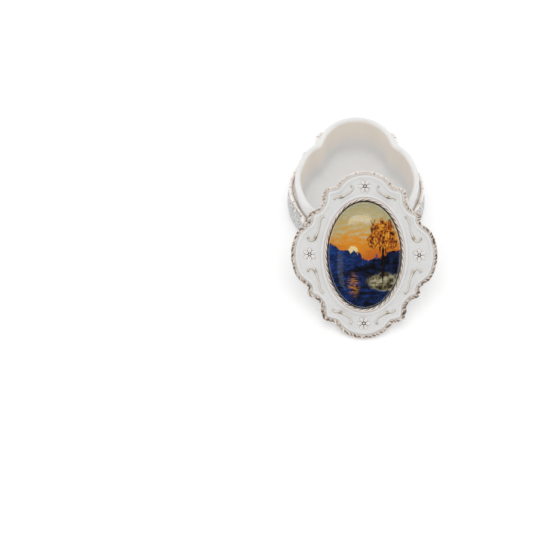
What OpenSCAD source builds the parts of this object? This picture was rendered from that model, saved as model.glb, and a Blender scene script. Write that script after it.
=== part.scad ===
// Rosary box: a cast box on a barbed quatrefoil plan, with its loose lid leaning on its front.

/* [Plan] */
// Length of the lid over its moulding
lid_l = 76.2; // [72:0.1:82]
// Width of the lid over its moulding
lid_w = 66.6; // [64:0.1:72]
// How far the box draws in from the lid at each side lobe
side_in = 1.9; // [0.5:0.1:3]
// How far the box draws in from the lid at each end lobe
end_in = 0.4; // [0:0.1:1.5]
// Radius of the hollow between the two barbs of a corner
hollow_r = 6.5; // [5.5:0.1:7.5]
// Centre of that hollow, in from the side of the lid
hollow_x = 8; // [7:0.1:9]
// Centre of that hollow, in from the end of the lid
hollow_y = 12.3; // [11:0.1:13.5]
// How far the upper barb lies in from that centre
barb_x = 7.2; // [6.9:0.1:7.5]
// How far the upper barb lies past that centre
barb_y = 4.1; // [3.7:0.1:4.5]
// How far the lower barb lies below that centre
barb_drop = 7.4; // [7.1:0.1:7.7]
// Length of a side lobe's straight end below the lower barb
lobe_end = 3.7; // [3.3:0.1:4.1]
// Length of the straight shoulder beside each end lobe
shoulder_l = 5.8; // [4.5:0.1:7]
// How far an end lobe stands out past its shoulder
end_rise = 6; // [5:0.1:7]
// How much less that is on the box than on the lid
shoulder_fill = 1.4; // [1:0.1:2]
// How much further apart the box's corners are, at each end, than the lid's
corner_out = 0.8; // [0:0.1:1.2]
// How much longer the box's upper barbs are than the lid's
barb_out = 0.7; // [0:0.1:1.2]
// How far a side lobe curves out past its ends
side_rise = 3; // [2:0.1:4]
// Half the length of a side lobe's round
side_half = 10.8; // [9.5:0.1:12]

/* [Box] */
// Height of the ledge round the collar
ledge_z = 17.5; // [12:0.1:24]
// Height of the collar above the ledge
collar_h = 7.9; // [5:0.1:12]
// Thickness of the collar's wall
collar_t = 2.7; // [2.2:0.1:3]
// Thickness of the floor
floor_t = 2.4; // [1.5:0.1:4]
// Round between floor and wall
floor_r = 3; // [1.5:0.1:4]
// Draw of the inner wall towards the floor
draft = 0.7; // [0.2:0.1:1.5]
// How far the side wall swells past the moulding
swell = 0.6; // [0.2:0.1:1.2]
// Mouth of the box, in from the end of the lid
mouth_end = 5.2; // [5:0.1:6]
// Mouth of the box, in from the side of the lid
mouth_side = 7.3; // [7:0.1:8.5]
// Radius of the mouth's end lobe
mouth_end_r = 15.7; // [14.5:0.1:16.5]
// Radius of the mouth's side lobe
mouth_side_r = 18.1; // [16.5:0.1:20]
// Radius of the mouth's corner lobe
mouth_corner_r = 10.7; // [9.8:0.1:11.2]
// Centre of that lobe, in from the side of the lid
mouth_corner_x = 21.3; // [20.5:0.1:22]
// Centre of that lobe, in from the end of the lid
mouth_corner_y = 30.1; // [29.4:0.1:31]

/* [Mouldings] */
// Width of the silver moulding
trim_w = 1.9; // [1.5:0.1:2.2]
// Height of the silver moulding
trim_h = 2.3; // [1.8:0.1:2.6]
// Length of one smooth rod
rod_l = 4.2; // [3.5:0.1:8]
// Length of the seam between two rods
seam_l = 0.8; // [0.5:0.1:1.2]
// Depth of that seam, as a share of the rod
seam_cut = 0.3; // [0.1:0.01:0.5]

/* [Lid] */
// Height of the flat field above the underside
field_z = 2.8; // [2.4:0.1:4]
// Rise of the rim above the field
rim_rise = 0.8; // [0.4:0.1:1.4]
// Rise of the mound round the picture above the field
mound_rise = 1.7; // [1.4:0.1:2.5]
// Depth of the hollow in the underside
under_hollow = 1; // [0.5:0.1:1.2]
// Height of the locating lip
lip_h = 2.4; // [1.5:0.1:2.8]
// Thickness of the locating lip
lip_t = 1.5; // [1:0.1:2]
// Clearance between lip and collar
lip_gap = 0.4; // [0.2:0.05:0.8]

/* [Picture] */
// Width of the enamelled border past each end of the glass
border_end = 13.6; // [13:0.1:15]
// Width of the enamelled border at each side of the glass
border_side = 16.4; // [15.5:0.1:18]
// Height of the glass at its edge
glass_edge = 1.6; // [1.3:0.1:2]
// Rise of the dome above that edge
glass_dome = 2.3; // [1:0.1:4]
// Thickness of the picture card
card_t = 0.4; // [0.2:0.05:0.6]
// Clearance round card and glass
seat_gap = 0.15; // [0.12:0.01:0.3]
// Width of the roped bezel
bezel_w = 1.2; // [0.9:0.05:1.3]
// Height of the roped bezel
bezel_h = 1; // [0.7:0.05:1.4]

/* [Ornament] */
// Width of a flower
flower_d = 5.8; // [4:0.1:6]
// Height of a flower
flower_h = 0.8; // [0.4:0.05:1.2]
// Width of a scroll's stem
scroll_w = 1; // [0.5:0.05:1.2]
// Height of a scroll's stem
scroll_h = 0.6; // [0.3:0.05:0.8]
// Clearance between a scroll and the slopes beside it
scroll_gap = 0.1; // [0:0.05:0.3]

/* [Leaning lid] */
// Slope of the leaning lid
lean = 34.8; // [30:0.1:40]
// How far the lid lies to the right
lean_x = 3.1; // [-4:0.1:4]
// Turn of the lid on its own slope
lean_turn = 0.3; // [-3:0.1:3]
// Clearance where the lid rests
rest_gap = 0.1; // [0.05:0.05:0.3]

/* [Hidden] */

WHITE = [0.92, 0.92, 0.91];
SILVER = [0.76, 0.74, 0.71];
PEARL = [0.86, 0.83, 0.79];
INK = [0.1, 0.14, 0.3];
CLEAR = [0.55, 0.62, 0.72];

// Half sizes of the lid, its corner hollow, and the corner's other points from there
half_w = lid_w / 2;
half_l = lid_l / 2;
hollow = [half_w - hollow_x, half_l - hollow_y];
upper_barb = [-barb_x, barb_y];
lower_barb = [0.3, -barb_drop];
side_notch = [0.2, -barb_drop - lobe_end];
upper_root = [0.9, -3.6];
lower_root = [-0.6, -2.2];
shoulder_root = [0.3, -0.9];
box_hollow = hollow + [0, corner_out];
mouth_corner = [half_w - mouth_corner_x, half_l - mouth_corner_y];
mouth_blend = 22;
arc_n = 5;
fine_step = 0.6;

// Heights of the box
collar_z = ledge_z + collar_h;
crown_r = collar_t / 2;
ledge_w = 0.25;
trim_min = 1;
trim_drop = 0.7;
foot_round = 2.2;
foot_z = 0.6;
foot_top = 2.4;
belly_low = 6;
belly_high = 9;

// Heights and borders of the lid
glass_a = half_w - border_side;
glass_b = half_l - border_end;
seat_z = field_z - 0.4;
bezel_z = seat_z + card_t + glass_edge - 0.2;
mound_z = field_z + mound_rise;
rim_z = field_z + rim_rise;
trim_top = trim_h + 0.1;
mound_foot = 3.5;
rim_foot = trim_w + 1.8;
bezel_inset = 0.1;
beside = scroll_w * 0.55 + scroll_gap;

// Points of an arc about c, from angle a to angle b
function arc(c, r, a, b, n) =
    [for (i = [0:n]) let (t = a + (b - a) * i / n) c + r * [cos(t), sin(t)]];

// Radius of an arc with half chord c and rise h
function lobe_r(c, h) = (c * c + h * h) / (2 * h);

// One quarter of a plan, from the middle of its side lobe to that of its end lobe, about a corner hollow at c
function plan(side, end, rise, c, barb) =
    let (rs = lobe_r(side_half, side_rise),
         tip = c + upper_barb + [0, barb],
         chord = tip.x - shoulder_l,
         re = lobe_r(chord, rise))
    concat(
        arc([side - rs, 0], rs, 0, asin(side_half / rs), arc_n),
        [c + side_notch, c + lower_barb + lower_root, c + lower_barb],
        arc(c, hollow_r, 264, 190, arc_n - 1),
        [c + upper_barb + upper_root, tip, [chord, end - rise] + shoulder_root],
        arc([0, end - re], re, 90 - asin(chord / re), 90, arc_n));

// A path with points added along its straight stretches
function fine(p) = [
    for (i = [0:len(p) - 2]) let (k = ceil(norm(p[i + 1] - p[i]) / fine_step))
        for (j = [0:k - 1]) p[i] + (p[i + 1] - p[i]) * j / k,
    p[len(p) - 1]];

// How far the middle sees along t, with a ball of radius d rolling inside path f, or outside if d < 0
function sight(f, t, d) = d > 0
    ? min([for (q = f) let (c = cross(q, t)) if (abs(c) < d) q * t - sqrt(d * d - c * c)])
    : max([for (q = f) let (c = cross(q, t)) if (abs(c) < -d) q * t + sqrt(d * d - c * c)]);

// The path drawn in by d, or swelled where d is negative
function inset(p, d) = d == 0 ? p :
    let (f = fine(p)) [for (v = p) let (t = v / norm(v)) t * sight(f, t, d)];

// How far along t a disc reaches
function disc(t, c, r) = let (k = cross(c, t)) abs(k) < r ? c * t + sqrt(r * r - k * k) : 0;

// The lobed mouth of the box, grown by g, along a path: three discs, blended where they meet
function mouth(p, g) = [for (v = p) let (t = v / norm(v)) t * pow(
    pow(disc(t, [0, half_l - mouth_end - mouth_end_r], mouth_end_r + g), mouth_blend)
    + pow(disc(t, [half_w - mouth_side - mouth_side_r, 0], mouth_side_r + g), mouth_blend)
    + pow(disc(t, mouth_corner, mouth_corner_r + g), mouth_blend), 1 / mouth_blend)];

// How far along t the edge of the glass lies, grown by g
function oval_r(t, g) = 1 / norm([t.x / (glass_a + g), t.y / (glass_b + g)]);

function oval(p, g) = [for (v = p) let (t = v / norm(v)) t * oval_r(t, g)];

// A quarter mirrored into a whole ring
function around(q) = let (n = len(q) - 1) concat(
    q,
    [for (i = [n - 1:-1:0]) [-q[i].x, q[i].y]],
    [for (i = [1:n]) -q[i]],
    [for (i = [n - 1:-1:1]) [q[i].x, -q[i].y]]);

// A whole ring at height z
function at(q, z) = [for (p = around(q)) [p.x, p.y, z]];

// At each direction the outer, or the inner, of two rings
function outer_of(p, q) = [for (i = [0:len(p) - 1]) norm(p[i]) > norm(q[i]) ? p[i] : q[i]];

function inner_of(p, q) = [for (i = [0:len(p) - 1]) norm(p[i]) < norm(q[i]) ? p[i] : q[i]];

box_plan = plan(half_w - side_in, half_l - end_in, end_rise - shoulder_fill, box_hollow, barb_out);
lid_plan = plan(half_w, half_l, end_rise, hollow, 0);
lid_fine = fine(lid_plan);

// Inner edge of the box's moulding, which narrows where the collar comes close
box_wall = outer_of(inset(box_plan, trim_w),
                    inner_of(mouth(box_plan, collar_t + ledge_w), inset(box_plan, trim_min)));

// Outside of the collar, grown by g
function collar(g) = inner_of(mouth(box_plan, collar_t + g),
                              [for (v = box_wall) v * (1 - (ledge_w - g) / norm(v))]);

// A solid through rings that run from one pole on the axis, out and round, to the other pole
module loft(rings, first, last) {
    n = len(rings[0]);
    m = len(rings);
    sides = [for (k = [0:m - 2]) for (i = [0:n - 1])
        let (a = k * n + i, b = k * n + (i + 1) % n)
        each [[a, b, b + n], [a, b + n, a + n]]];
    start = [for (i = [0:n - 1]) [m * n, (i + 1) % n, i]];
    end = [for (i = [0:n - 1]) [m * n + 1, (m - 1) * n + i, (m - 1) * n + (i + 1) % n]];
    polyhedron(points = concat([for (r = rings) each r], [[0, 0, first], [0, 0, last]]),
               faces = concat(sides, start, end));
}

// A closed hoop through sections of m points each
module hoop(sections) {
    n = len(sections);
    m = len(sections[0]);
    polyhedron(points = [for (s = sections) each s],
               faces = [for (i = [0:n - 1]) for (k = [0:m - 1])
                   let (j = (i + 1) % n, l = (k + 1) % m)
                   each [[i * m + k, i * m + l, j * m + l], [i * m + k, j * m + l, j * m + k]]]);
}

// Moulding of smooth rods end to end, over a groove, between an inner and an outer ring
module moulding(inner, outer) {
    n = len(outer);
    section = [[0, 0], [0.8, 0.1], [1, 0.6], [0.58, 1], [0, 0.55]];
    starts = [for (s = 0, i = 0; i <= n; s = s + norm(outer[(i + 1) % n] - outer[i % n]), i = i + 1) s];
    total = starts[n];
    count = 4 * round(total / rod_l / 4);
    pitch = total / count;
    marks = [for (j = [0:count]) for (k = [-1:1]) j * pitch + k * seam_l / 2];
    hoop([for (i = [0:n - 1])
        let (a = starts[i], b = starts[i + 1],
             inside = [for (s = marks) if (s > a + 0.05 && s < b - 0.05) s])
        for (s = concat([a], inside))
            let (u = (s - a) / (b - a),
                 p = inner[i] * (1 - u) + inner[(i + 1) % n] * u,
                 q = outer[i] * (1 - u) + outer[(i + 1) % n] * u,
                 off = abs(s - pitch * round(s / pitch)),
                 cut = seam_cut * max(0, 1 - 2 * off / seam_l))
            [for (c = section)
                let (w = c.x * (1 - cut), h = c.x > 0 ? 0.5 + (c.y - 0.5) * (1 - cut) : c.y,
                     v = p + (q - p) * w)
                [v.x, v.y, h * trim_h]]]);
}

// Where the leaning lid's own origin lies: its moulding stands on the table and its underside on the collar
function lid_origin() =
    let (slope = [cos(lean), sin(lean)],
         face = [-sin(lean), cos(lean)],
         crown = [-(half_l - mouth_end + collar_t - crown_r), collar_z - crown_r],
         z = half_l * slope.y - trim_w * 0.2 * slope.y - 0.1 * trim_h * face.y + rest_gap,
         across = crown * face + crown_r + rest_gap - under_hollow)
    [lean_x, (face.y * z - across) / slope.y, z];

module on_lid() {
    translate(lid_origin()) rotate([lean, 0, 0]) rotate([0, 0, lean_turn]) children();
}

// A point of the lid's field: its direction, and its share of the way from mound to rim
function on_field(angle, share) =
    let (t = [cos(angle), sin(angle)],
         a = oval_r(t, mound_foot + beside),
         b = sight(lid_fine, t, rim_foot + beside))
    t * (a + (b - a) * share);

module base_shell() {
    seat = ledge_z - trim_h + trim_drop;
    color(WHITE) loft([
        at(inset(box_plan, foot_round), 0),
        at(inset(box_plan, 0.8), foot_z),
        at(inset(box_plan, -swell * 0.4), foot_top),
        at(inset(box_plan, -swell), belly_low),
        at(inset(box_plan, -swell), belly_high),
        at(inset(box_plan, 0), seat - 1.6),
        at(inset(box_plan, 0.4), seat),
        at(box_wall, seat),
        at(box_wall, ledge_z),
        at(collar(0), ledge_z + 0.1),
        at(collar(0), collar_z - crown_r),
        at(collar(-crown_r * 0.3), collar_z - crown_r * 0.3),
        at(collar(-crown_r), collar_z),
        at(mouth(box_plan, crown_r * 0.3), collar_z - crown_r * 0.3),
        at(mouth(box_plan, 0), collar_z - crown_r),
        at(mouth(box_plan, -draft), floor_t + floor_r),
        at(mouth(box_plan, -draft - floor_r * 0.3), floor_t + floor_r * 0.3),
        at(mouth(box_plan, -draft - floor_r), floor_t)],
        0, floor_t);
}

module base_trim() {
    color(SILVER) translate([0, 0, ledge_z - trim_h + trim_drop])
        moulding(around(box_wall), around(box_plan));
}

module lid_shell() {
    edge = inset(lid_plan, trim_w);
    lip = -lip_gap;
    color(WHITE) on_lid() loft([
        at(oval(lid_plan, seat_gap), seat_z),
        at(oval(lid_plan, seat_gap), bezel_z),
        at(oval(lid_plan, bezel_inset + bezel_w + 0.2), bezel_z),
        at(oval(lid_plan, bezel_inset + bezel_w + 0.5), mound_z),
        at(oval(lid_plan, mound_foot - 1.1), mound_z - 0.2),
        at(oval(lid_plan, mound_foot - 0.5), (mound_z + field_z) / 2),
        at(oval(lid_plan, mound_foot), field_z),
        at(inset(lid_plan, rim_foot), field_z),
        at(inset(lid_plan, rim_foot - 0.5), rim_z - 0.2),
        at(inset(lid_plan, rim_foot - 1), rim_z),
        at(inset(lid_plan, trim_w + 0.3), rim_z - 0.3),
        at(edge, trim_top),
        at(edge, 0),
        at(mouth(lid_plan, lip), 0),
        at(mouth(lid_plan, lip - 0.1), -lip_h),
        at(mouth(lid_plan, lip - lip_t), -lip_h),
        at(mouth(lid_plan, lip - lip_t), under_hollow)],
        seat_z, under_hollow);
}

module lid_trim() {
    color(SILVER) on_lid() moulding(around(inset(lid_plan, trim_w)), around(lid_plan));
}

// Point of the glass's oval, grown by g
function rim_point(t, g) = [(glass_a + g) * cos(t), (glass_b + g) * sin(t)];

module picture_bezel() {
    turns = 44;
    samples = 2;
    section = [[0, 0], [0.2, 0.85], [0.8, 1], [1, 0]];
    color(SILVER) on_lid() translate([0, 0, bezel_z])
        hoop([for (i = [0:turns * samples - 1])
            let (t = i * 360 / (turns * samples), groove = (i % samples == 0) ? 0.35 : 0)
            [for (c = section)
                let (p = rim_point(t, bezel_inset + bezel_w * (0.5 + (c.x - 0.5) * (1 - groove * 0.4))))
                [p.x, p.y, bezel_h * c.y * (1 - groove)]]]);
}

module picture_card() {
    color(INK) on_lid() translate([0, 0, seat_z])
        linear_extrude(card_t) polygon([for (i = [0:71]) rim_point(i * 5, 0)]);
}

module glass_dome() {
    n = 48;
    z = seat_z + card_t;
    function ring(share, h) = [for (i = [0:n - 1])
        let (p = rim_point(i * 360 / n, 0) * share) [p.x, p.y, h]];
    color(CLEAR, 0.5) on_lid() loft(concat(
        [ring(1, z), ring(1, z + glass_edge)],
        [for (s = [0.95, 0.85, 0.66, 0.4]) ring(s, z + glass_edge + glass_dome * sqrt(1 - pow(s, 2.4)))]),
        z, z + glass_edge + glass_dome);
}

// Six petals round a raised eye, on a flat back, towards the side that dir points to
module flower(dir) {
    n = 30;
    r = flower_d / 2;
    p = on_field(abs(dir.y) * 90, 0.48);
    function petal(t) = pow(abs(cos(3 * t)), 0.7);
    function ring(share, h, dip) = [for (i = [0:n - 1]) let (t = i * 360 / n, k = petal(t))
        [r * share * (0.42 + 0.58 * k) * cos(t), r * share * (0.42 + 0.58 * k) * sin(t),
         flower_h * h * (1 - dip * (1 - k))]];
    color(PEARL) on_lid()
        translate([p.x * dir.x, p.y * dir.y, field_z]) rotate([0, 0, dir.y == 0 ? 90 : 0])
            loft([ring(1, 0, 0), ring(0.96, 0.45, 0), ring(0.7, 0.85, 0.5), ring(0.42, 0.4, 0),
                  ring(0.24, 0.95, 0)], 0, flower_h);
}

// A smooth curve through points, m steps to each stretch
function curve(p, m) = let (n = len(p) - 1)
    [for (i = [0:n - 1]) for (j = [0:i == n - 1 ? m : m - 1])
    let (u = j / m, a = p[max(i - 1, 0)], b = p[i], c = p[i + 1], d = p[min(i + 2, n)])
    0.5 * (2 * b + (c - a) * u + (2 * a - 5 * b + 4 * c - d) * u * u + (3 * b - a - 3 * c + d) * u * u * u)];

// Stem of a scroll, thick at its curled ends and at its leaf, mirrored into its quarter of the lid
module scroll(route, leaf, sx, sy) {
    path = curve([for (r = route) on_field(r[0], r[1])], 3);
    n = len(path);
    function width(u) = scroll_w
        * (0.62 + 0.45 * pow(abs(2 * u - 1), 5) + 0.5 * exp(-pow((u - leaf) / 0.08, 2)));
    sections = [for (i = [0:n - 1])
        let (t = path[min(i + 1, n - 1)] - path[max(i - 1, 0)], s = [-t.y, t.x] / norm(t),
             w = width(i / (n - 1)))
        [for (c = [[-0.5, 0], [0.5, 0], [0.28, 1], [-0.28, 1]])
            let (p = path[i] + s * c.x * w) [p.x, p.y, c.y * scroll_h * w / scroll_w]]];
    sides = [for (i = [0:n - 2]) for (k = [0:3]) let (l = (k + 1) % 4)
        each [[i * 4 + k, i * 4 + l, i * 4 + 4 + l], [i * 4 + k, i * 4 + 4 + l, i * 4 + 4 + k]]];
    e = (n - 1) * 4;
    color(PEARL) on_lid()
        translate([0, 0, field_z]) mirror([sx < 0 ? 1 : 0, 0, 0]) mirror([0, sy < 0 ? 1 : 0, 0])
            polyhedron(points = [for (s = sections) each s],
                       faces = concat(sides, [[0, 2, 1], [0, 3, 2],
                                              [e, e + 1, e + 2], [e, e + 2, e + 3]]));
}

// Routes across the field: direction, and share of the way from mound to rim
END_SCROLL = [[78.6, 0.88], [79.9, 0.58], [77.6, 0.31], [72.8, 0.34],
              [67.8, 0.48], [63.2, 0.8], [60.8, 0.64]];
SIDE_SCROLL = [[16.8, 0.83], [14.4, 0.6], [16, 0.37], [22, 0.35], [30.5, 0.54],
               [37.6, 0.72], [41.4, 1], [43.2, 0.87]];

// Where each kind of scroll has its leaf, as a share of its length
END_LEAF = 0.66;
SIDE_LEAF = 0.36;

base_shell();
base_trim();
lid_shell();
lid_trim();
picture_bezel();
picture_card();
glass_dome();
flower([0, 1]);  // flower_top
flower([0, -1]);  // flower_bottom
flower([-1, 0]);  // flower_left
flower([1, 0]);  // flower_right
scroll(END_SCROLL, END_LEAF, -1, 1);  // scroll_top_left
scroll(END_SCROLL, END_LEAF, 1, 1);  // scroll_top_right
scroll(END_SCROLL, END_LEAF, -1, -1);  // scroll_bottom_left
scroll(END_SCROLL, END_LEAF, 1, -1);  // scroll_bottom_right
scroll(SIDE_SCROLL, SIDE_LEAF, -1, 1);  // scroll_left_upper
scroll(SIDE_SCROLL, SIDE_LEAF, -1, -1);  // scroll_left_lower
scroll(SIDE_SCROLL, SIDE_LEAF, 1, 1);  // scroll_right_upper
scroll(SIDE_SCROLL, SIDE_LEAF, 1, -1);  // scroll_right_lower
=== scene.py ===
"""Looks of the rosary box: finer shells, mouldings, ornament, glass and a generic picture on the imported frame."""
import math

import bpy
import numpy as np
from mathutils import Matrix, Vector


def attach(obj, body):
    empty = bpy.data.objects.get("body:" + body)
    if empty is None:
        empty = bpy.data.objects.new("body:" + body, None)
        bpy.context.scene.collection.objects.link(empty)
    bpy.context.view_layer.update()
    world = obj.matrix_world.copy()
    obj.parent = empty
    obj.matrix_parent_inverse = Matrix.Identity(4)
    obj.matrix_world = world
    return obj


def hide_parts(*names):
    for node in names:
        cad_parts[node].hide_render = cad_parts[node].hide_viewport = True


MM = 0.001

# ---------------------------------------------------------------- sizes repeated from the part's source, in mm
LID_L, LID_W = 76.2, 66.6
HALF_L, HALF_W = LID_L / 2, LID_W / 2
SIDE_IN, END_IN, CORNER_OUT, BARB_OUT = 1.9, 0.4, 0.8, 0.7
SIDE_RISE, SIDE_HALF = 3.0, 10.8
SHOULDER, END_RISE, SHOULDER_FILL = 5.8, 6.0, 1.4

# A corner's hollow, its arc in degrees, and the corner's other points from the hollow's centre, barbs or shoulder
HOLLOW_R, HOLLOW = 6.5, np.array([HALF_W - 8, HALF_L - 12.3])
HOLLOW_FROM, HOLLOW_TO = 264, 190
UPPER_BARB, LOWER_BARB, SIDE_NOTCH = (-7.2, 4.1), (0.3, -7.4), (0.2, -11.1)
UPPER_ROOT, LOWER_ROOT, SHOULDER_ROOT = (0.9, -3.6), (-0.6, -2.2), (0.3, -0.9)

LEDGE_Z, COLLAR_H, COLLAR_T = 17.5, 7.9, 2.7
COLLAR_Z, CROWN_R, LEDGE_W = LEDGE_Z + COLLAR_H, COLLAR_T / 2, 0.25
FLOOR_T, FLOOR_R, DRAFT, SWELL = 2.4, 3.0, 0.7, 0.6
MOUTH_END, MOUTH_BLEND = 5.2, 22
MOUTH_DISCS = (((0, HALF_L - MOUTH_END - 15.7), 15.7), ((HALF_W - 7.3 - 18.1, 0), 18.1),
               ((HALF_W - 21.3, HALF_L - 30.1), 10.7))
TRIM_MIN, TRIM_W, TRIM_H, TRIM_DROP = 1.0, 1.9, 2.3, 0.7
TRIM_SEAT = LEDGE_Z - TRIM_H + TRIM_DROP

FIELD_Z, RIM_RISE, MOUND_RISE, UNDER = 2.8, 0.8, 1.7, 1.0
LIP_H, LIP_T, LIP_GAP = 2.4, 1.5, 0.4
MOUND_Z, RIM_Z = FIELD_Z + MOUND_RISE, FIELD_Z + RIM_RISE
MOUND_FOOT, RIM_FOOT = 3.5, TRIM_W + 1.8
GLASS_A, GLASS_B = HALF_W - 16.4, HALF_L - 13.6
GLASS_EDGE, GLASS_DOME, CARD_T, SEAT_GAP = 1.6, 2.3, 0.4, 0.15
BEZEL_W, BEZEL_H, BEZEL_INSET = 1.2, 1.0, 0.1
SEAT_Z = FIELD_Z - 0.4
GLASS_TOP = SEAT_Z + CARD_T + GLASS_EDGE
BEZEL_Z = GLASS_TOP - 0.2

FLOWER_H, SCROLL_W, SCROLL_H, SCROLL_GAP = 0.8, 1.0, 0.6, 0.1
BESIDE = SCROLL_W * 0.55 + SCROLL_GAP
LEAN, LEAN_X, LEAN_TURN, REST_GAP = 34.8, 3.1, 0.3, 0.1

# ---------------------------------------------------------------- sizes of the finer forms, in mm
STEPS, ARC_STEPS, FILLET_STEPS, CROWN_STEPS = 1200, 40, 5, 18
SOFT_CORNER, SOFT_REACH, MOUTH_SOFT = 0.5, 12, 7
# A moulding's section, as (across, up): the corners before and after its rod, the rod's centre and its arc in degrees
BEFORE_ROD, AFTER_ROD = np.array([(0, 0.05), (0.02, 2.12), (0.45, 1.9)]), np.array([(1.42, 0.55), (1.3, 0.05)])
TRIM_STEPS, ROD_L, ROD_R, ROD_AT, ROD_ARC = 3600, 4.2, 0.68, (1.18, 1.58), np.radians(np.linspace(152, -66, 19))
SEAM_W, SEAM_CUT, FAINT_SEAM = 0.24, 0.2, 0.4
# The twist of the moulding: its length, depth and slant, and the waves (height, count, phase) that make it uneven
TWIST_L, TWIST_CUT, TWIST_SLANT, TWIST_WAVES = 2.1, 0.05, 1.7, ((1.5, 23, 0), (1.1, 41, 2))
ROPE_STEPS, ROPE_SIDES, STRANDS, LAYS, ROPE_CUT = 2200, 18, 3, 44, 0.26
GLASS_STEPS, GLASS_GAP, GLASS_BEVEL = 240, 0.03, 0.15
GLASS_RINGS = (0.98, 0.95, 0.91, 0.86, 0.8, 0.73, 0.65, 0.56, 0.46, 0.36, 0.26, 0.16, 0.07)
FLOWER_D, FLOWER_AT, FLOWER_STEPS, FLOWER_RINGS = 6.4, 0.48, 180, 34
PETAL_MID, PETAL_LONG, PETAL_WIDE, EYE_R, PETAL_EDGE, EYE_H = 1.8, 1.12, 0.8, 0.52, 0.06, 0.8

# Scrolls as (direction in degrees, share of the way from the mound to the rim), and where along each its leaf grows
END_SCROLL = ((78.6, 0.88), (79.9, 0.58), (77.6, 0.31), (72.8, 0.34), (67.8, 0.48), (63.2, 0.8), (60.8, 0.64))
SIDE_SCROLL = ((16.8, 0.83), (14.4, 0.6), (16, 0.37), (22, 0.35), (30.5, 0.54), (37.6, 0.72), (41.4, 1), (43.2, 0.87))
END_LEAF, SIDE_LEAF = 0.66, 0.36
SCROLL_STEPS, SCROLL_SIDES = 10, 12

# ---------------------------------------------------------------- camera and light
ELEVATION, DISTANCE, YAW, ROLL = 57.69, 1190.0, -0.67, -0.15
LOOK, PX_PER_MM, PICTURE_PX, SENSOR = (-41.32, -32.29), 2.1614, 533, 36
TABLE_HALF, TABLE_Z = 4, -5e-5
ROOM_LIGHT, OPEN_END, OPEN_LIGHT, OPEN_FROM, OPEN_TO = 0.79, (0.0, -0.607, 0.795), 0.02, 38, 52
GLASS_AIM = (0.003, -0.05, 0.03)


# ---------------------------------------------------------------- outlines
def ways(ring):
    """The ring's directions from the middle."""
    return ring / np.linalg.norm(ring, axis=1)[:, None]


def arc(c, r, a, b):
    """Points of an arc about c, from angle a to angle b."""
    t = np.radians(np.linspace(a, b, ARC_STEPS + 1))
    return [np.array(c) + r * np.array([math.cos(v), math.sin(v)]) for v in t]


def lobe_r(c, h):
    """Radius of an arc with half chord c and rise h."""
    return (c * c + h * h) / (2 * h)


def outline(side, end, rise, hollow, barb):
    """Whole plan as one closed ring, its corners softened as a casting's are."""
    upper, lower = hollow + UPPER_BARB, hollow + LOWER_BARB
    chord = upper[0] - SHOULDER
    rs, re = lobe_r(SIDE_HALF, SIDE_RISE), lobe_r(chord, rise)
    q = arc((side - rs, 0), rs, 0, math.degrees(math.asin(SIDE_HALF / rs)))
    q += [hollow + SIDE_NOTCH, lower + LOWER_ROOT, lower] + arc(hollow, HOLLOW_R, HOLLOW_FROM, HOLLOW_TO)
    q += [upper + UPPER_ROOT, upper + [0, barb], np.array([chord, end - rise]) + SHOULDER_ROOT]
    q += arc((0, end - re), re, 90 - math.degrees(math.asin(chord / re)), 90)
    q = np.array(q)
    ring = even(np.concatenate([q, q[-2::-1] * [-1, 1], -q[1:], q[-2:0:-1] * [1, -1]]), STEPS)
    sigma = SOFT_CORNER / (perimeter(ring)[-1] / STEPS)
    k = np.arange(-SOFT_REACH, SOFT_REACH + 1)
    w = np.exp(-0.5 * (k / sigma) ** 2)
    w /= w.sum()
    return sum(wi * np.roll(ring, -ki, axis=0) for wi, ki in zip(w, k))


def perimeter(ring):
    """Length along a closed ring at each of its points, with the whole length last."""
    return np.concatenate([[0], np.cumsum(np.linalg.norm(np.roll(ring, -1, 0) - ring, axis=1))])


def even(ring, n):
    """A closed ring again, its n points evenly spaced and starting at the same point."""
    s = perimeter(ring)
    closed = np.vstack([ring, ring[:1]])
    t = np.arange(n) * s[-1] / n
    return np.column_stack([np.interp(t, s, closed[:, i]) for i in range(ring.shape[1])])


def reach(ring, d):
    """Distance from the middle in each of the ring's directions, with a ball of radius d rolled along it."""
    if d == 0:
        return np.linalg.norm(ring, axis=1)
    t = ways(ring)
    cross = np.abs(np.outer(t[:, 1], ring[:, 0]) - np.outer(t[:, 0], ring[:, 1]))
    dot = t @ ring.T
    root = np.sqrt(np.maximum(d * d - cross * cross, 0))
    near = (cross < abs(d)) & (dot > 0)
    if d > 0:
        return np.where(near, dot - root, np.inf).min(1)
    return np.where(near, dot + root, -np.inf).max(1)


def mouth(ring, g):
    """The same for the lobed mouth, grown by g: three discs, blended where they meet and then smoothed."""
    t = np.abs(ways(ring))
    total = 0
    for (x, y), r in MOUTH_DISCS:
        k = x * t[:, 1] - y * t[:, 0]
        hit = x * t[:, 0] + y * t[:, 1] + np.sqrt(np.maximum((r + g) ** 2 - k * k, 0))
        total = total + np.where(np.abs(k) < r + g, hit, 0) ** MOUTH_BLEND
    total = total ** (1 / MOUTH_BLEND)
    return sum(np.roll(total, k) for k in range(-MOUTH_SOFT, MOUTH_SOFT + 1)) / (2 * MOUTH_SOFT + 1)


def oval(ring, g):
    """The same for the glass's outline, grown by g."""
    t = ways(ring)
    return 1 / np.sqrt((t[:, 0] / (GLASS_A + g)) ** 2 + (t[:, 1] / (GLASS_B + g)) ** 2)


def outward(path):
    """Level sideways directions, outward from a closed path in the plane."""
    t = ways(np.roll(path, -1, 0) - np.roll(path, 1, 0))
    return np.column_stack([t[:, 1], -t[:, 0], np.zeros(len(t))])


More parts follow.
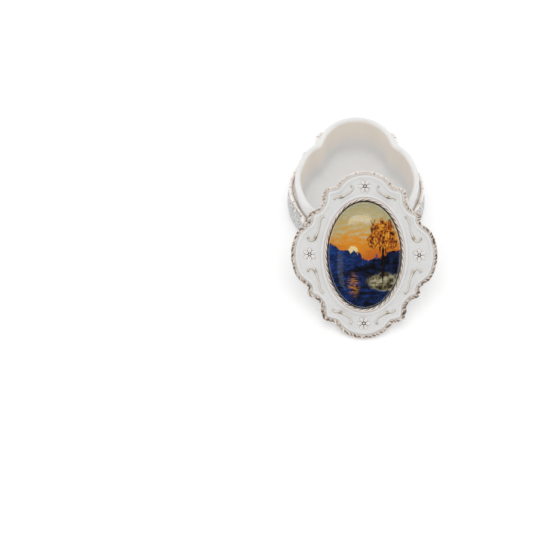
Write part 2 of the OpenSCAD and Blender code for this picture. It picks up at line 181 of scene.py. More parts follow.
# ---------------------------------------------------------------- placing and meshes
def lid_matrix():
    """Where the lid leans: its moulding on the table, its underside on the collar's round crown."""
    slope = np.array([math.cos(math.radians(LEAN)), math.sin(math.radians(LEAN))])
    face = np.array([-slope[1], slope[0]])
    crown = np.array([-(HALF_L - MOUTH_END + COLLAR_T - CROWN_R), COLLAR_Z - CROWN_R])
    z = (HALF_L - 0.2 * TRIM_W) * slope[1] - 0.1 * TRIM_H * face[1] + REST_GAP
    across = crown @ face + CROWN_R + REST_GAP - UNDER
    y = (face[1] * z - across) / slope[1]
    turn = Matrix.Rotation(math.radians(LEAN), 4, "X") @ Matrix.Rotation(math.radians(LEAN_TURN), 4, "Z")
    return Matrix.Translation((LEAN_X * MM, y * MM, z * MM)) @ turn


ON_LID = lid_matrix()


def link(name, data):
    """A new object in the scene."""
    ob = bpy.data.objects.new(name, data)
    bpy.context.scene.collection.objects.link(ob)
    return ob


def give(ob, *materials):
    ob.data.materials.clear()
    for m in materials:
        ob.data.materials.append(m)


def mesh(name, verts, faces, body, nodes, place=None, painted_shade_and_tone=None, ragged=None):
    """A smooth piece from points in millimetres, riding on a body and standing for CAD nodes."""
    me = bpy.data.meshes.new(name)
    me.from_pydata((np.asarray(verts) * MM).tolist(), [], faces)
    if place is not None:
        me.transform(place)
    me.validate()
    me.polygons.foreach_set("use_smooth", [True] * len(me.polygons))
    for key, data in (("painted_shade_and_tone", painted_shade_and_tone), ("ragged", ragged)):
        if data is not None:
            a = me.attributes.new(key, "FLOAT", "POINT")
            a.data.foreach_set("value", np.asarray(data, np.float32))
    me.update()
    ob = link(name, me)
    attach(ob, body)
    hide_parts(*nodes)
    return ob


def rounded(stops):
    """Rings (reach, z, fillet) with their corners rounded in the profile, and the stop that each came from."""
    p = [np.column_stack([r, np.full(len(r), z)]) for r, z, _ in stops]
    out, tags = [], []
    for i, (_, _, f) in enumerate(stops):
        if f == 0 or i in (0, len(stops) - 1):
            out.append(p[i])
            tags.append(i)
            continue
        a, b = p[i - 1] - p[i], p[i + 1] - p[i]
        # A fillet takes up to 0.48 of the stretch to each side, so that two of them never meet
        s, e = (p[i] + v * np.minimum(f / np.maximum(np.linalg.norm(v, axis=1)[:, None], 1e-6), 0.48) for v in (a, b))
        for u in np.linspace(0, 1, FILLET_STEPS + 1):
            out.append(s * (1 - u) ** 2 + 2 * p[i] * u * (1 - u) + e * u * u)
            tags.append(i)
    return out, tags


def ring_faces(n, m):
    """Faces of m rings of n points: the bands between them, then a fan from point m n to the first ring and one
    from point m n + 1 to the last."""
    i = np.arange(n)
    j = (i + 1) % n
    faces = []
    for a in range(0, (m - 1) * n, n):
        faces += np.column_stack([a + i, a + j, a + n + j, a + n + i]).tolist()
    last = (m - 1) * n
    faces += np.column_stack([np.full(n, m * n), j, i]).tolist()
    return faces + np.column_stack([np.full(n, m * n + 1), last + i, last + j]).tolist()


def loft(ring, stops, first, last):
    """Points, faces and each face's stop for a body lofted through rounded rings in the ring's directions."""
    t, n = ways(ring), len(ring)
    rings, tags = rounded(stops)
    v = [np.column_stack([t * r[:, :1], r[:, 1]]) for r in rings] + [[[0, 0, first]], [[0, 0, last]]]
    owner = np.repeat(tags[1:] + [0, tags[-1]], n)
    return np.vstack(v), ring_faces(n, len(rings)), owner


def sweep(path, across, sides, rises, closed=True):
    """Points and faces of a section swept along a path: its offsets across the path and straight up."""
    n, m = sides.shape
    v = path[:, None, :] + sides[:, :, None] * across[:, None, :] + rises[:, :, None] * np.array([0, 0, 1.0])
    faces = []
    k = np.arange(m)
    after = (k + 1) % m
    for i in range(n if closed else n - 1):
        j = (i + 1) % n
        faces += np.column_stack([i * m + k, i * m + after, j * m + after, j * m + k]).tolist()
    if not closed:
        faces += [list(range(m))[::-1], [(n - 1) * m + q for q in range(m)]]
    return v.reshape(-1, 3), faces


def flipped(faces):
    return [q[::-1] for q in faces]


# ---------------------------------------------------------------- shader nodes
def new_material(name):
    m = bpy.data.materials.new(name)
    m.use_nodes = True
    m.node_tree.nodes.clear()
    return m, m.node_tree


def node(nt, kind, props=None, **inputs):
    """A shader node; inputs go by name, or by number as i0, and may be values or other nodes' sockets."""
    nd = nt.nodes.new("ShaderNode" + kind)
    for k, v in (props or {}).items():
        setattr(nd, k, v)
    for k, v in inputs.items():
        s = nd.inputs[int(k[1:])] if k[0] == "i" and k[1:].isdigit() else nd.inputs[k.replace("_", " ")]
        if isinstance(v, bpy.types.NodeSocket):
            nt.links.new(v, s)
        else:
            s.default_value = v
    return nd


def ramp(nt, fac, stops):
    nd = node(nt, "ValToRGB", Fac=fac)
    e = nd.color_ramp.elements
    while len(e) < len(stops):
        e.new(0.5)
    for k, (p, c) in enumerate(stops):
        e[k].position = p
        e[k].color = (*c, 1)
    return nd.outputs[0]


def maths(nt, op, a, b=0.0, clamp=False):
    return node(nt, "Math", {"operation": op, "use_clamp": clamp}, i0=a, i1=b).outputs[0]


def blend(nt, fac, a, b):
    """Colours a and b mixed; each is a socket or three numbers."""
    a, b = (v if isinstance(v, bpy.types.NodeSocket) else (*v, 1) for v in (a, b))
    return node(nt, "Mix", {"data_type": "RGBA"}, i0=fac, i6=a, i7=b).outputs[2]


def smooth(nt, v, low, high, low_out=0.0, high_out=1.0):
    """v from low to high, eased, as low_out to high_out."""
    return node(nt, "MapRange", {"interpolation_type": "SMOOTHSTEP"}, Value=v, From_Min=low, From_Max=high,
                To_Min=low_out, To_Max=high_out).outputs[0]


def noise(nt, co, scale, detail=3.0, rough=0.5):
    return node(nt, "TexNoise", Vector=co, Scale=scale, Detail=detail, Roughness=rough).outputs["Fac"]


def attribute(nt, name):
    return node(nt, "Attribute", {"attribute_name": name}).outputs["Fac"]


def coords(nt):
    return node(nt, "TexCoord").outputs["Object"]


def bumped(nt, strength, distance, height):
    return node(nt, "Bump", Strength=strength, Distance=distance, Height=height).outputs[0]


def surface(nt, **inputs):
    node(nt, "OutputMaterial", Surface=node(nt, "BsdfPrincipled", **inputs).outputs[0])


def mixed(nt, fac, first, second):
    """Two shaders mixed and sent to the output."""
    node(nt, "OutputMaterial", Surface=node(nt, "MixShader", Fac=fac, i1=first, i2=second).outputs[0])


# ---------------------------------------------------------------- materials
def enamel(name, base, shade, rough=0.22, coat=0.3, low=None):
    """Fired white enamel: a faint orange peel, fine grain and slight cloudiness; low, where given, is painted shade,
    a greyer and darker colour towards the floor.
    """
    m, nt = new_material(name)
    co = coords(nt)
    cloud = noise(nt, co, 90.0, 4.0, 0.6)
    fine = noise(nt, co, 1500.0, 3.0, 0.75)
    tone = maths(nt, "ADD", maths(nt, "MULTIPLY", cloud, 0.45), maths(nt, "MULTIPLY", fine, 0.55), True)
    colour = ramp(nt, tone, [(0.36, shade), (0.58, base)])
    # Painted shade: the colour turns to low towards the floor
    if low:
        height = node(nt, "SeparateXYZ", Vector=co).outputs[2]
        colour = blend(nt, smooth(nt, height, 0.005, 0.019), low, colour)
    peel = maths(nt, "ADD", noise(nt, co, 420.0, 2.0), maths(nt, "MULTIPLY", fine, 0.5))
    surface(nt, Base_Color=colour, Roughness=rough, Normal=bumped(nt, 0.4, 0.00014, peel), Coat_Weight=coat,
            Coat_Roughness=0.1, Specular_IOR_Level=0.5)
    return m


def stipple(name):
    """The side wall's silver-grey ground, pitted all over and dark in its pits."""
    m, nt = new_material(name)
    co = coords(nt)
    stray = node(nt, "TexNoise", Vector=co, Scale=1100.0, Detail=2.0).outputs["Color"]
    bent = node(nt, "VectorMath", {"operation": "MULTIPLY_ADD"}, i0=stray, i1=(0.0016,) * 3, i2=co).outputs[0]
    cell = node(nt, "TexVoronoi", {"feature": "F1"}, Vector=bent, Scale=1050.0).outputs["Distance"]
    grain = noise(nt, co, 600.0, 4.0, 0.7)
    pit = maths(nt, "MULTIPLY", cell, maths(nt, "ADD", grain, 0.25))
    colour = ramp(nt, pit, [(0.08, (0.2, 0.19, 0.19)), (0.26, (0.48, 0.47, 0.46)), (0.48, (0.8, 0.8, 0.79))])
    surface(nt, Base_Color=colour, Metallic=0.15, Roughness=0.4, Normal=bumped(nt, 0.8, 0.0004, pit))
    return m


def silver(name, bright, mid, dark, wear=0.5):
    """Plated relief: bright where it stands proud, darker by an attribute of painted shade (in its hollows and on its
    shaded sides) mixed with its seams and gilt, and in patches where it is ragged.
    """
    m, nt = new_material(name)
    co = coords(nt)
    fine = maths(nt, "MULTIPLY", maths(nt, "SUBTRACT", noise(nt, co, 700.0, 3.0, 0.6), 0.5), wear)
    broad = maths(nt, "MULTIPLY", maths(nt, "SUBTRACT", noise(nt, co, 170.0, 1.0), 0.5), wear)
    patch = smooth(nt, noise(nt, co, 850.0, 2.0), 0.44, 0.62, 0.0, 0.5)
    patch = maths(nt, "MULTIPLY", patch, attribute(nt, "ragged"))
    # The attribute's painted shade, with the seams and gilt it also carries, darkens the colour here
    k = maths(nt, "ADD", maths(nt, "ADD", attribute(nt, "painted_shade_and_tone"), patch), maths(nt, "ADD", fine, broad), True)
    colour = ramp(nt, k, [(0.1, bright), (0.42, mid), (0.8, dark)])
    surface(nt, Base_Color=colour, Metallic=0.35, Roughness=maths(nt, "ADD", maths(nt, "MULTIPLY", k, 0.35), 0.3),
            Normal=bumped(nt, 0.3, 0.00008, noise(nt, co, 1800.0, 2.0)))
    return m


def glass(name):
    """Clear domed glass: light goes straight through it, and what looks at its face sees it mirror by the angle."""
    m, nt = new_material(name)
    path = node(nt, "LightPath").outputs
    seen = maths(nt, "ADD", path["Is Camera Ray"], path["Is Glossy Ray"], True)
    mirror = maths(nt, "MULTIPLY", node(nt, "Fresnel", IOR=1.9).outputs[0], seen)
    mixed(nt, mirror, node(nt, "BsdfTransparent", Color=(0.97, 0.98, 0.98, 1)).outputs[0],
          node(nt, "BsdfGlossy", Color=(1, 1, 1, 1), Roughness=0.08).outputs[0])
    return m


def clear(name):
    """The glass's flat back and its edge, which mirror nothing."""
    m, nt = new_material(name)
    node(nt, "OutputMaterial", Surface=node(nt, "BsdfTransparent", Color=(0.98, 0.99, 0.99, 1)).outputs[0])
    return m


def table_white(name, low, high, glow):
    """The table: lit as paper, with a little light of its own towards the camera so that it reads white."""
    m, nt = new_material(name)
    base = node(nt, "BsdfDiffuse", Color=ramp(nt, noise(nt, coords(nt), 3.0), [(0.3, low), (0.7, high)])).outputs[0]
    light = node(nt, "Emission", Color=(1, 1, 1, 1), Strength=glow).outputs[0]
    path = node(nt, "LightPath").outputs
    beyond = maths(nt, "ADD", path["Is Glossy Ray"], path["Is Transmission Ray"])
    seen = maths(nt, "ADD", path["Is Camera Ray"], beyond, True)
    mixed(nt, seen, base, node(nt, "AddShader", i0=base, i1=light).outputs[0])
    return m


def landscape(name):
    """A generic evening landscape: tan sky, low sun, an amber tree, blue hills over a dark lake, in loose strokes."""
    m, nt = new_material(name)
    pos = node(nt, "Attribute", {"attribute_name": "picture", "attribute_type": "GEOMETRY"}).outputs["Vector"]
    across, up = node(nt, "SeparateXYZ", Vector=pos).outputs[:2]
    broad = noise(nt, pos, 2.3, 4.0, 0.6)
    small = noise(nt, pos, 8.0, 5.0, 0.65)
    dabs = noise(nt, pos, 19.0, 3.0, 0.6)
    flat = node(nt, "VectorMath", {"operation": "MULTIPLY"}, i0=pos, i1=(1.0, 5.5, 1.0)).outputs[0]
    strokes = noise(nt, flat, 3.2, 5.0, 0.65)
    glitter = noise(nt, flat, 7.0, 3.0, 0.6)

    def times(a, b):
        return maths(nt, "MULTIPLY", a, b)

    def less(a, b):
        return maths(nt, "SUBTRACT", a, b)

    def shift(v, by, amount):
        return maths(nt, "ADD", v, times(less(by, 0.5), amount))

    def where(v, low, high):
        return smooth(nt, v, low, high)

    def length(a, b):
        return maths(nt, "SQRT", maths(nt, "ADD", times(a, a), times(b, b)))

    x = shift(across, dabs, 0.06)
    y = shift(up, small, 0.1)

    def spot(cx, cy, rx, ry, wobble, low=1.1, high=0.85):
        """A ragged oval, full inside and empty outside."""
        r = length(maths(nt, "DIVIDE", less(x, cx), rx), maths(nt, "DIVIDE", less(y, cy), ry))
        return where(shift(r, small, wobble), low, high)

    def paint(under, amount, over):
        return blend(nt, amount, under, over)

    def hills(under, level, slope, rough, dark, light):
        edge = shift(maths(nt, "ADD", times(x, slope), level), broad, rough)
        tint = paint(dark, where(shift(strokes, small, 0.8), 0.4, 0.66), light)
        return paint(under, where(less(edge, y), -0.01, 0.02), tint)

    # Sky, clouds, the sun's glow and the sun
    colour = ramp(nt, shift(shift(times(y, 0.55), strokes, 0.4), broad, 0.2), [
        (0.02, (0.62, 0.14, 0.008)), (0.13, (0.8, 0.3, 0.02)), (0.26, (0.66, 0.41, 0.12)),
        (0.42, (0.56, 0.46, 0.23)), (0.6, (0.49, 0.41, 0.21))])
    cloud = times(where(strokes, 0.47, 0.62), where(y, 0.15, 0.4))
    colour = paint(colour, times(cloud, 0.7), (0.6, 0.55, 0.39))
    colour = paint(colour, times(spot(-0.3, 0.1, 0.42, 0.2, 0.7, 1.3, 0.2), 0.8), (0.85, 0.3, 0.015))
    colour = paint(colour, spot(-0.3, 0.08, 0.13, 0.085, 0.2), (0.92, 0.7, 0.33))

    # Far and near hills, the lake and the sun on it
    colour = hills(colour, 0.0, -0.16, 0.75, (0.002, 0.012, 0.08), (0.006, 0.05, 0.25))
    colour = hills(colour, -0.17, 0.3, 0.55, (0.001, 0.002, 0.006), (0.002, 0.013, 0.08))
    lake = ramp(nt, shift(strokes, dabs, 0.3), [
        (0.36, (0.001, 0.001, 0.004)), (0.5, (0.001, 0.01, 0.06)), (0.62, (0.002, 0.03, 0.17)),
        (0.78, (0.01, 0.09, 0.36))])
    colour = paint(colour, where(y, -0.33, -0.38), lake)
    glint = times(spot(-0.28, -0.56, 0.19, 0.26, 0.5, 1.15, 0.1), where(glitter, 0.44, 0.6))
    colour = paint(colour, times(glint, 0.9), (0.6, 0.22, 0.025))

    # The bank and the tree on it
    bank = ramp(nt, shift(small, strokes, 0.6), [
        (0.38, (0.03, 0.02, 0.008)), (0.5, (0.2, 0.16, 0.08)), (0.64, (0.5, 0.45, 0.3))])
    colour = paint(colour, spot(0.58, -0.5, 0.52, 0.17, 1.1), bank)
    for cx, cy, rx, ry in ((0.5, -0.12, 0.035, 0.42), (0.42, 0.22, 0.02, 0.2), (0.57, 0.2, 0.02, 0.2)):
        colour = paint(colour, spot(cx, cy, rx, ry, 0.5), (0.008, 0.004, 0.003))
    leaves = ramp(nt, shift(small, dabs, 0.9), [
        (0.3, (0.012, 0.004, 0.002)), (0.42, (0.2, 0.04, 0.004)), (0.52, (0.55, 0.13, 0.005)),
        (0.66, (0.85, 0.4, 0.03))])
    for cx, cy, rx, ry in ((0.48, 0.44, 0.34, 0.22), (0.28, 0.26, 0.24, 0.14), (0.66, 0.24, 0.22, 0.14)):
        colour = paint(colour, spot(cx, cy, rx, ry, 1.3), leaves)

    # The card's dark rim: the print's dark edge, and painted shade for the dark ring at the glass's edge
    colour = paint(colour, where(length(across, up), 0.965, 0.985), (0.01, 0.008, 0.01))
    surface(nt, Base_Color=colour, Roughness=0.6, Specular_IOR_Level=0.2)
    return m


# ---------------------------------------------------------------- pieces
def section(before, rod, after):
    """Values round a moulding's section at each step along it; only the rod's change along the way."""
    n = len(rod)
    return np.hstack([np.tile(before, (n, 1)), rod, np.tile(after, (n, 1))])


def moulding(name, node_name, body, inner, outer, z0, place, groove, ragged_along):
    """Smooth rods end to end over a groove, with a dark seam between each two, twisted more deeply and darker where
    ragged, and painted shade on the rods' lower flanks, in the groove and at the outer foot.
    """
    n = TRIM_STEPS
    s0 = perimeter((inner + outer) / 2)
    t = np.arange(n) * s0[-1] / n
    mid = even((inner + outer) / 2, n)
    width = np.linalg.norm(outer - inner, axis=1)
    width = np.interp(t, s0, np.append(width, width[0]))
    ragged = ragged_along(np.degrees(np.arctan2(mid[:, 1], mid[:, 0])))

    total = perimeter(outer)[-1]
    count = 4 * round(total / ROD_L / 4)
    u = t / s0[-1] * count
    off = np.abs(u - np.round(u))
    seam = np.exp(-(off * total / count / SEAM_W) ** 2) * np.where(np.round(u) % 2 == 0, 1, FAINT_SEAM)
    a = ROD_ARC
    along = math.tau * t / s0[-1]
    pitch = round(total / TWIST_L) * along + sum(h * np.sin(k * along + p) for h, k, p in TWIST_WAVES)
    uneven = 0.55 + 0.45 * np.sin(31 * along) * np.sin(53 * along + 1)
    twist = np.cos(pitch[:, None] + TWIST_SLANT * a[None, :])
    r = (ROD_R * (0.94 + 0.12 * off) * (1 - SEAM_CUT * seam))[:, None]
    r = r * (1 - TWIST_CUT * ragged[:, None] * (1 - twist))
    x = section(BEFORE_ROD[:, 0], ROD_AT[0] + r * np.cos(a), AFTER_ROD[:, 0])
    z = section(BEFORE_ROD[:, 1], ROD_AT[1] + r * np.sin(a), AFTER_ROD[:, 1])
    path = np.column_stack([mid, np.full(n, z0)])
    v, f = sweep(path, outward(mid), (x / TRIM_W - 0.5) * width[:, None], z)

    # Painted shade: the rods' lower flanks, the groove and the outer foot darker, more so where ragged; the seams are
    # dark joints, and the twist's troughs are darker where ragged
    flank = 0.42 * np.clip(1.0 + np.cos(a), 0, 1) + 0.8 * groove * np.clip((np.cos(a) - 0.75) / 0.2, 0, 1)
    dark = flank[None, :] * (0.15 + 0.58 * ragged)[:, None] + (0.4 * seam)[:, None]
    dark = dark + (0.5 * ragged * uneven)[:, None] * (0.4 - twist) * np.clip(0.95 + 0.1 * np.cos(a), 0.2, 1)[None, :]
    painted_shade_and_tone = np.clip(section([0.3, groove, groove * 0.5], dark, [0.6, 1]), 0, 1)
    ragged = ragged[:, None] * np.concatenate([[0, 0, 0.1], np.clip(0.9 + 0.4 * np.cos(a), 0.2, 1), [1, 1]])
    ob = mesh(name, v, flipped(f), body, [node_name], place, painted_shade_and_tone.ravel(), ragged.ravel())
    give(ob, rod_silver)


def field_point(angle, share):
    """A point of the lid's flat field: its direction, and its share of the way from the mound to the rim."""
    t = np.array([math.cos(math.radians(angle)), math.sin(math.radians(angle))])
    a = 1 / math.hypot(*(t / [GLASS_A + MOUND_FOOT + BESIDE, GLASS_B + MOUND_FOOT + BESIDE]))
    b = FIELD_EDGE[np.argmax(ways(lid) @ t)]
    return t * (a + (b - a) * share)


def flower(name, dx, dy):
    """A six-petalled flower at one end (dy) or side (dx) of the lid."""
    p = field_point(abs(dy) * 90, FLOWER_AT) * [1 if dx == 0 else dx, 1 if dy == 0 else dy]
    n, m = FLOWER_STEPS, FLOWER_RINGS
    turn = math.radians(0 if dy else 90)
    ang = np.radians(np.arange(n) * 360 / n)
    rim = FLOWER_D / 2 * (0.42 + 0.58 * np.abs(np.cos(3 * ang)) ** 0.7) * 0.99
    phi = (ang + math.pi / 6) % (math.pi / 3) - math.pi / 6
    v, painted_shade_and_tone = [], []
    for q in np.linspace(1, 0, m, endpoint=False):
        d = q * rim
        bulb = 1 - ((d * np.cos(phi) - PETAL_MID) / PETAL_LONG) ** 2 - (d * np.sin(phi) / PETAL_WIDE) ** 2
        eye = 1 - (d / EYE_R) ** 2
        z = np.maximum(np.sqrt(np.clip(bulb, 0, 1)) * 0.95, np.sqrt(np.clip(eye, 0, 1)) * EYE_H)
        z = np.maximum(z, PETAL_EDGE) * (1 if q < 1 else 0)
        v.append(np.column_stack([d * np.cos(ang + turn), d * np.sin(ang + turn), z * FLOWER_H]))
        # Painted shade: darker where the relief is low, between the petals and round the eye, fading out towards the
        # tips
        painted_shade_and_tone.append(np.clip(1.0 - z * 1.45, 0, 1) * np.clip(1.65 - d / 2.1, 0, 1))
    v = np.vstack(v + [[[0, 0, 0]], [[0, 0, FLOWER_H * EYE_H]]]) + [*p, FIELD_Z]
    painted_shade_and_tone = np.concatenate(painted_shade_and_tone + [[1, 0]])
    ob = mesh(name + "_relief", v, ring_faces(n, m), "lid", [name], ON_LID, painted_shade_and_tone)
    give(ob, petals)


def curve(p, m):
    """A smooth curve through the points p, with m steps between each two."""
    p = np.array(p)
    out, n = [], len(p) - 1
    for i in range(n):
        a, b, c, d = p[max(i - 1, 0)], p[i], p[i + 1], p[min(i + 2, n)]
        for u in np.arange(m) / m:
            out.append(0.5 * (2 * b + (c - a) * u + (2 * a - 5 * b + 4 * c - d) * u ** 2
                              + (3 * b - a - 3 * c + d) * u ** 3))
    return np.array(out + [p[-1]])


def scroll(name, route, leaf, sx, sy):
    """A round-topped stem along a route, thicker at its ends and where its leaf grows, mirrored by sx and sy."""
    p = curve([field_point(a, s) for a, s in route], SCROLL_STEPS)
    n = len(p)
    u = np.linspace(0, 1, n)
    tip = np.minimum(u, 1 - u)
    w = SCROLL_W * (0.74 + 0.55 * np.abs(2 * u - 1) ** 8 + 0.5 * np.exp(-((u - leaf) / 0.08) ** 2))
    w = w * np.minimum(1, np.sqrt(tip / 0.03 + 0.15))
    t = ways(np.gradient(p, axis=0))
    a = np.radians(np.linspace(0, 180, SCROLL_SIDES))
    c = np.append(np.cos(a), [-0.9, 0.9]) * 0.5
    h = np.append(np.sin(a) ** 0.7, [0, 0])
    mirror = np.array([sx, sy])
    across = np.column_stack([np.column_stack([-t[:, 1], t[:, 0]]) * mirror, np.zeros(n)])
    path = np.column_stack([p * mirror, np.full(n, FIELD_Z)])
    v, f = sweep(path, across, c * w[:, None], h * (SCROLL_H / SCROLL_W * w)[:, None], closed=False)
    if sx * sy < 0:
        f = flipped(f)
    # Painted shade on the stem's low sides and along its lower side; gilt at the leaf, and at the ends gilt with
    # painted shade standing in for the curls' hollows
    gilt_and_curl_shade = 0.15 + 0.45 * np.exp(-((u - leaf) / 0.07) ** 2) + 0.5 * np.exp(-(tip / 0.07) ** 2)
    painted_lower_shade = c * (across[:, :1] * 0.35 - across[:, 1:2] * 0.94)
    painted_shade_and_tone = np.clip(1.0 - 1.25 * h + gilt_and_curl_shade[:, None] + 0.9 * painted_lower_shade, 0, 1).ravel()
    ob = mesh(name + "_relief", v, f, "lid", [name], ON_LID, painted_shade_and_tone)
    give(ob, relief)


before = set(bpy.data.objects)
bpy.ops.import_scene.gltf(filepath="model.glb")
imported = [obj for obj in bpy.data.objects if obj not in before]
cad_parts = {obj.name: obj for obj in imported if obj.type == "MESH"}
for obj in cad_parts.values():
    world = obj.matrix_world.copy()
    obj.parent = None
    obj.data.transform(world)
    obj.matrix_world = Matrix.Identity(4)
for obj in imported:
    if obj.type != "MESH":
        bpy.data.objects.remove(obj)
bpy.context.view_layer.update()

box = outline(HALF_W - SIDE_IN, HALF_L - END_IN, END_RISE - SHOULDER_FILL, HOLLOW + [0, CORNER_OUT], BARB_OUT)
lid = outline(HALF_W, HALF_L, END_RISE, HOLLOW, 0)
FIELD_EDGE = reach(lid, RIM_FOOT + BESIDE)

white = enamel("box_enamel", (0.89, 0.885, 0.875), (0.82, 0.817, 0.81))
# The lid's enamel is the box's, made darker as painted shade for the leaning lid
shaded_lid_white = enamel("shaded_lid_enamel", (0.8, 0.796, 0.787), (0.73, 0.727, 0.72))
inside = enamel("inner_enamel", (0.97, 0.9, 0.82), (0.93, 0.86, 0.775), 0.45, 0.05, (0.86, 0.86, 0.855))
side = stipple("pitted_side")
rod_silver = silver("moulding_silver", (0.99, 0.94, 0.89), (0.62, 0.5, 0.41), (0.14, 0.1, 0.075), 0.45)
rope_silver = silver("rope_silver", (0.97, 0.88, 0.81), (0.62, 0.49, 0.4), (0.1, 0.07, 0.05))
petals = silver("petal_silver", (0.99, 0.95, 0.91), (0.6, 0.56, 0.54), (0.22, 0.2, 0.21))
relief = silver("relief_silver", (0.95, 0.91, 0.84), (0.6, 0.48, 0.32), (0.18, 0.12, 0.06))

# Box: its foot and belly, the moulding's seat, the ledge, the collar's round crown, and the inside down to the floor
wall = np.maximum(reach(box, TRIM_W), np.minimum(mouth(box, COLLAR_T + LEDGE_W), reach(box, TRIM_MIN)))


def collar(g):
    """The collar's outer face, grown by g, with the ledge left in front of it."""
    return np.minimum(mouth(box, COLLAR_T + g), wall - LEDGE_W + g)


pitted = [(reach(box, d), z, f) for d, z, f in (
    (2.6, 0, 0), (2.2, 0.05, 0), (1.3, 0.3, 0.3), (0.6, 1.0, 0.5), (-SWELL * 0.4, 2.6, 0.8), (-SWELL, 6, 1.8),
    (-SWELL, 9, 1.8), (0, TRIM_SEAT - 1.6, 1.2), (0.4, TRIM_SEAT, 0.25))]
ledge = [(wall, TRIM_SEAT, 0.1), (wall, LEDGE_Z, 0.12), (collar(0), LEDGE_Z + 0.1, 0.35)]
crown = [(collar(CROWN_R * (math.cos(a) - 1)) if math.cos(a) >= 0 else mouth(box, CROWN_R * (1 + math.cos(a))),
          COLLAR_Z - CROWN_R + CROWN_R * math.sin(a), 0) for a in np.radians(np.linspace(0, 180, CROWN_STEPS + 1))]
hollow = [
    (mouth(box, -DRAFT), FLOOR_T + FLOOR_R, 1.5), (mouth(box, -DRAFT - FLOOR_R * 0.3), FLOOR_T + FLOOR_R * 0.3, 1.5),
    (mouth(box, -DRAFT - FLOOR_R), FLOOR_T, 1.0), (mouth(box, -DRAFT - FLOOR_R) * 0.4, FLOOR_T, 0)]
v, f, owner = loft(box, pitted + ledge + crown + hollow, 0, FLOOR_T)
# Its materials: 0 white, 1 pitted up to the moulding, 2 the inner white from low on the crown's inner side
kind = np.zeros(len(f), int)
kind[owner < len(pitted)] = 1
kind[owner >= len(pitted + ledge) + CROWN_STEPS - 3] = 2
base = mesh("box_body", v, f, "base", ["base_shell"])
give(base, white, side, inside)
base.data.polygons.foreach_set("material_index", kind.tolist())
moulding("box_moulding", "base_trim", "base", ways(box) * wall[:, None], box, TRIM_SEAT, None, 0.6,
         lambda t: 0.06 + 0 * t)

# Lid: the glass's seat, the mound, the field, the rim, the moulding's seat, the underside, the lip and its hollow
edge = reach(lid, TRIM_W)
stops = [
    (oval(lid, SEAT_GAP), SEAT_Z, 0), (oval(lid, SEAT_GAP), BEZEL_Z, 0), (oval(lid, BEZEL_W + 0.3), BEZEL_Z, 0.05),
    (oval(lid, BEZEL_W + 0.6), MOUND_Z, 0.25), (oval(lid, MOUND_FOOT - 1.1), MOUND_Z - 0.2, 0.6),
    (oval(lid, MOUND_FOOT - 0.5), (MOUND_Z + FIELD_Z) / 2, 0.5), (oval(lid, MOUND_FOOT), FIELD_Z, 0.5),
    (reach(lid, RIM_FOOT), FIELD_Z, 0.9), (reach(lid, RIM_FOOT - 0.5), RIM_Z - 0.2, 0.5),
    (reach(lid, RIM_FOOT - 1), RIM_Z, 0.5), (reach(lid, TRIM_W + 0.3), RIM_Z - 0.3, 0.3),
    (edge, TRIM_H + 0.1, 0.15), (edge, 0, 0.1),
    (mouth(lid, -LIP_GAP), 0, 0.1), (mouth(lid, -LIP_GAP - 0.1), -LIP_H, 0.2),
    (mouth(lid, -LIP_GAP - LIP_T), -LIP_H, 0.2), (mouth(lid, -LIP_GAP - LIP_T), UNDER, 0.3),
    (mouth(lid, -LIP_GAP - LIP_T) * 0.5, UNDER, 0)]
v, f, owner = loft(lid, stops, SEAT_Z, UNDER)
plate = mesh("lid_plate", v, f, "lid", ["lid_shell"], ON_LID)
give(plate, shaded_lid_white)
# Its moulding is darker and more deeply twisted all round but at its top end, and a little less so on the left
moulding("lid_moulding", "lid_trim", "lid", ways(lid) * edge[:, None], lid, 0, ON_LID, 0.12,
         lambda t: (1 - 0.85 * np.exp(-((t - 90) / 48) ** 2)) * (0.92 + 0.08 * np.cos(np.radians(t))))

# Twisted rope that holds the glass
n, m = ROPE_STEPS, ROPE_SIDES
t = np.radians(np.arange(n) * 360 / n)
half = BEZEL_W / 2
out = BEZEL_INSET + half
mid = even(np.column_stack([(GLASS_A + out) * np.cos(t), (GLASS_B + out) * np.sin(t)]), n)
a = np.radians(np.arange(m) * 360 / m)
bulge = 1 - ROPE_CUT + ROPE_CUT * np.abs(np.cos(STRANDS / 2 * a[None, :] - LAYS / 2 * t[:, None]))
v, f = sweep(np.column_stack([mid, np.full(n, BEZEL_Z + BEZEL_H / 2)]), outward(mid),
             np.cos(a) * half * bulge, np.sin(a) * (BEZEL_H / 2) * bulge)
# Painted shade: darker in the hollows between the strands, under the rope and on its inner side
inward = np.clip(0.5 - 0.42 * np.cos(a), 0.3, 0.85)
painted_shade_and_tone = np.clip((1 - bulge) * 6 * inward + np.clip(0.3 - np.sin(a), 0, 1) * inward, 0, 1).ravel()
rope = mesh("rope_bezel", v, f, "lid", ["picture_bezel"], ON_LID, painted_shade_and_tone)
give(rope, rope_silver)

# Glass: a flat back, a small bevel and a dome
n = GLASS_STEPS
t = np.radians(np.arange(n) * 360 / n)
unit = np.column_stack([GLASS_A * np.cos(t), GLASS_B * np.sin(t)])
z0 = SEAT_Z + CARD_T + GLASS_GAP
profile = [(1.0, z0), (1.0, GLASS_TOP - GLASS_BEVEL), (0.995, GLASS_TOP - 0.02)]
profile += [(s, GLASS_TOP + GLASS_DOME * math.sqrt(1 - s ** 2.4)) for s in GLASS_RINGS]
v = np.vstack([np.column_stack([unit * s, np.full(n, z)]) for s, z in profile]
              + [[[0, 0, z0]], [[0, 0, GLASS_TOP + GLASS_DOME]]])
f = ring_faces(n, len(profile))
dome = mesh("domed_glass", v, f, "lid", ["glass_dome"], ON_LID)
dome.data.set_sharp_from_angle(angle=math.radians(40))
give(dome, glass("clear_glass"), clear("clear_back"))
back = np.zeros(len(f), int)
back[:2 * n] = back[-2 * n:-n] = 1
dome.data.polygons.foreach_set("material_index", back.tolist())

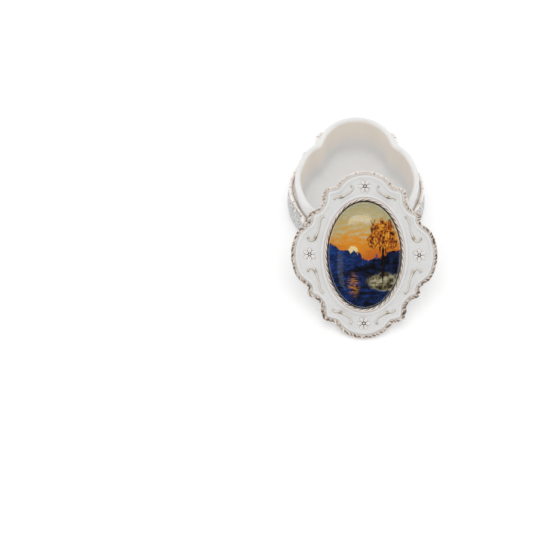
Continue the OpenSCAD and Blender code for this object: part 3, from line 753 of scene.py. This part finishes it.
# Picture: the CAD card with its own coordinates for the landscape
card = bpy.data.objects["picture_card"]
inverse = ON_LID.inverted()
place = np.array([list(inverse @ p.co) for p in card.data.vertices]) / MM
a = card.data.attributes.new("picture", "FLOAT_VECTOR", "POINT")
a.data.foreach_set("vector", (place / [GLASS_A, GLASS_B, 1]).astype(np.float32).ravel())
give(card, landscape("evening_picture"))

# Ornament
for name, dx, dy in (("flower_top", 0, 1), ("flower_bottom", 0, -1), ("flower_left", -1, 0), ("flower_right", 1, 0)):
    flower(name, dx, dy)
for name, sx, sy in (("top_left", -1, 1), ("top_right", 1, 1), ("bottom_left", -1, -1), ("bottom_right", 1, -1)):
    scroll("scroll_" + name, END_SCROLL, END_LEAF, sx, sy)
for name, sx, sy in (("left_upper", -1, 1), ("left_lower", -1, -1), ("right_upper", 1, 1), ("right_lower", 1, -1)):
    scroll("scroll_" + name, SIDE_SCROLL, SIDE_LEAF, sx, sy)

# ---------------------------------------------------------------- stage
me = bpy.data.meshes.new("table")
me.from_pydata([(TABLE_HALF * x, TABLE_HALF * y, TABLE_Z) for x, y in ((-1, -1), (1, -1), (1, 1), (-1, 1))], [],
               [(0, 1, 2, 3)])
table = link("table", me)
give(table, table_white("table_white", (0.84, 0.84, 0.84), (0.86, 0.86, 0.86), 0.28))


def area(name, place, aim, size, energy, height=None, glossy=True):
    """A lamp that the camera doesn't see: square, or a strip where its height is given."""
    light = bpy.data.lights.new(name, "AREA")
    light.energy = energy
    light.size = size
    if height:
        light.shape, light.size_y = "RECTANGLE", height
    ob = link(name, light)
    ob.location = place
    ob.rotation_euler = (Vector(aim) - Vector(place)).to_track_quat("-Z", "Y").to_euler()
    ob.visible_camera = False
    ob.visible_glossy = glossy


# One soft lamp overhead; two weak strips for the glass's highlights
area("overhead", (-0.02, -0.15, 1.15), (0, 0, 0), 0.8, 2.6, glossy=False)
area("upper_strip", (-0.037, -0.581, 1.161), GLASS_AIM, 0.32, 0.17, height=0.1)
area("side_strip", (-0.301, -0.886, 0.908), GLASS_AIM, 0.14, 0.055, height=0.32)

# A plain white room; its mirror image in the glass is dark where the open end lies, behind the camera
world = bpy.data.worlds.new("studio")
bpy.context.scene.world = world
world.use_nodes = True
nt = world.node_tree
nt.nodes.clear()
facing = node(nt, "VectorMath", {"operation": "DOT_PRODUCT"}, i0=node(nt, "TexCoord").outputs["Generated"],
              i1=OPEN_END).outputs["Value"]
mirrored = smooth(nt, facing, math.cos(math.radians(OPEN_TO)), math.cos(math.radians(OPEN_FROM)), 1.0, OPEN_LIGHT)
path = node(nt, "LightPath").outputs
lit = node(nt, "Mix", {"data_type": "FLOAT"}, i0=path["Is Glossy Ray"], i2=ROOM_LIGHT, i3=mirrored).outputs[0]
seen = maths(nt, "ADD", path["Is Camera Ray"], path["Is Transmission Ray"], True)
level = node(nt, "Mix", {"data_type": "FLOAT"}, i0=seen, i2=lit, i3=1.0).outputs[0]
node(nt, "OutputWorld", Surface=node(nt, "Background", Color=(1, 1, 1, 1), Strength=level).outputs[0])

# ---------------------------------------------------------------- camera
e, w = math.radians(ELEVATION), math.radians(YAW)
ahead = np.array([math.sin(w) * math.cos(e), math.cos(w) * math.cos(e), -math.sin(e)])
right = np.array([math.cos(w), -math.sin(w), 0])
above = np.cross(right, ahead)
c, s = math.cos(math.radians(ROLL)), math.sin(math.radians(ROLL))
right, above = c * right - s * above, s * right + c * above
eye = (np.array([*LOOK, 0]) - DISTANCE * ahead) * MM
data = bpy.data.cameras.new("camera")
data.sensor_width = SENSOR
data.lens = PX_PER_MM * DISTANCE / PICTURE_PX * SENSOR
data.clip_start, data.clip_end = 0.05, 20
camera = link("camera", data)
camera.matrix_world = Matrix([[right[i], above[i], -ahead[i], eye[i]] for i in range(3)] + [[0, 0, 0, 1]])
bpy.context.scene.camera = camera
bpy.context.scene.view_settings.view_transform = "Standard"
